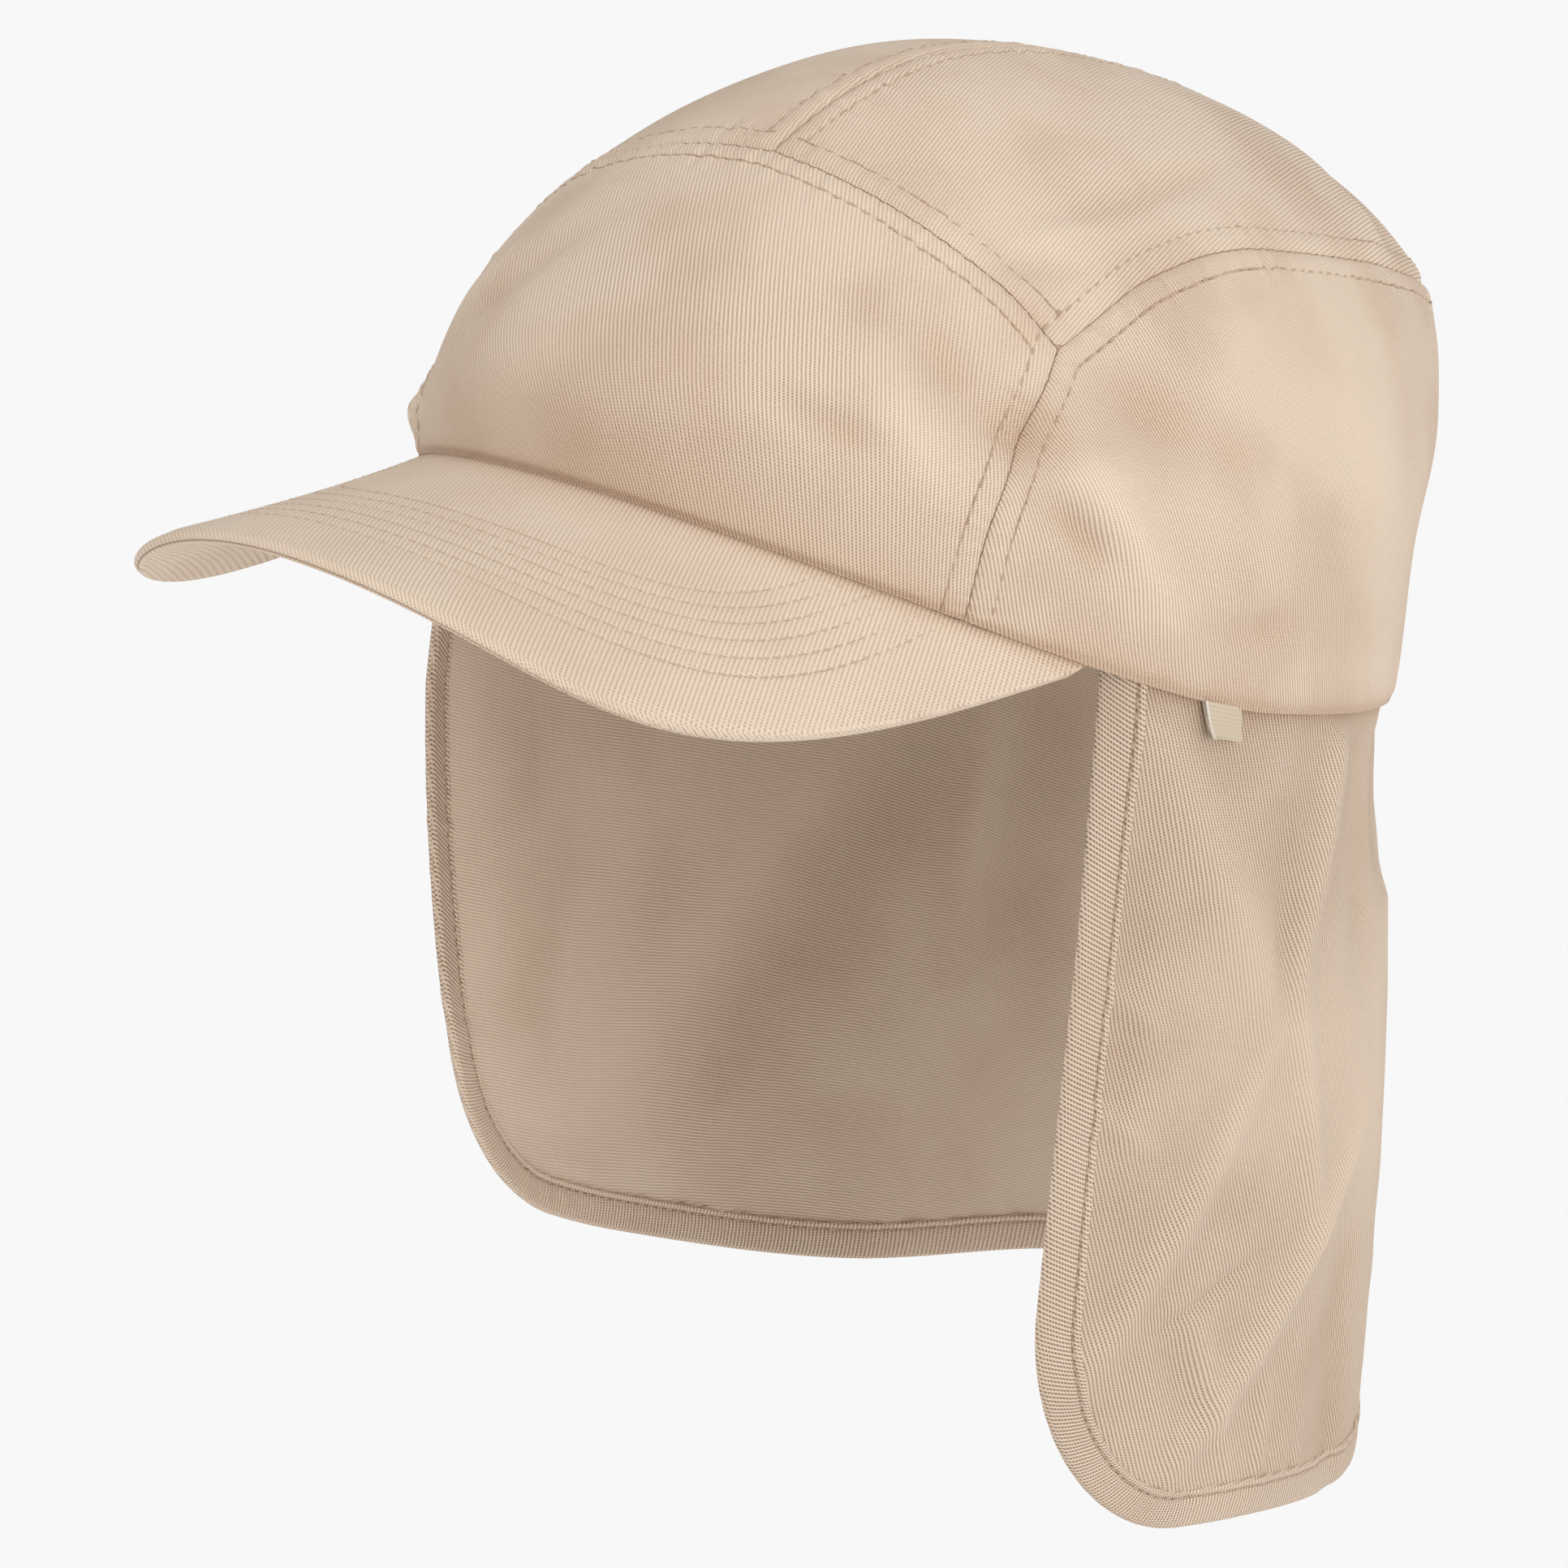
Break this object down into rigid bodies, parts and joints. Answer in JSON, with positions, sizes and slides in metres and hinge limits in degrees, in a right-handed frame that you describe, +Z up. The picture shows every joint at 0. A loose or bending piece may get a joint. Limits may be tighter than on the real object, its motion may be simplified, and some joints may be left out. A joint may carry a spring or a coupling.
{
  "type": "legionnaire cap",
  "caption": "Soft cotton cap with a curved stitched peak, a panelled crown and a long bound flap that hangs over the ears and the back of the neck.",
  "frame": {"origin": "centre of the head opening at the crown's lower edge, where the cap sits on a head", "axes": "+Z up as worn, the peak points to -Y, the wearer's left side is +X; the crown leans back 19 degrees about X"},
  "size_m": [0.1718, 0.2914, 0.2887],
  "materials": {
    "crown_cloth": "matte twill",
    "peak_cloth": "matte twill",
    "flap_cloth": "matte twill",
    "binding_cloth": "matte twill",
    "label_cloth": "matte twill"
  },
  "bodies": {
    "root": {"front_panel": "crown_cloth", "top_panel_left": "crown_cloth", "top_panel_right": "crown_cloth", "side_panel_left": "crown_cloth", "side_panel_right": "crown_cloth", "peak": "peak_cloth", "neck_flap": "flap_cloth", "flap_binding": "binding_cloth", "side_label": "label_cloth"}
  },
  "joints": []
}
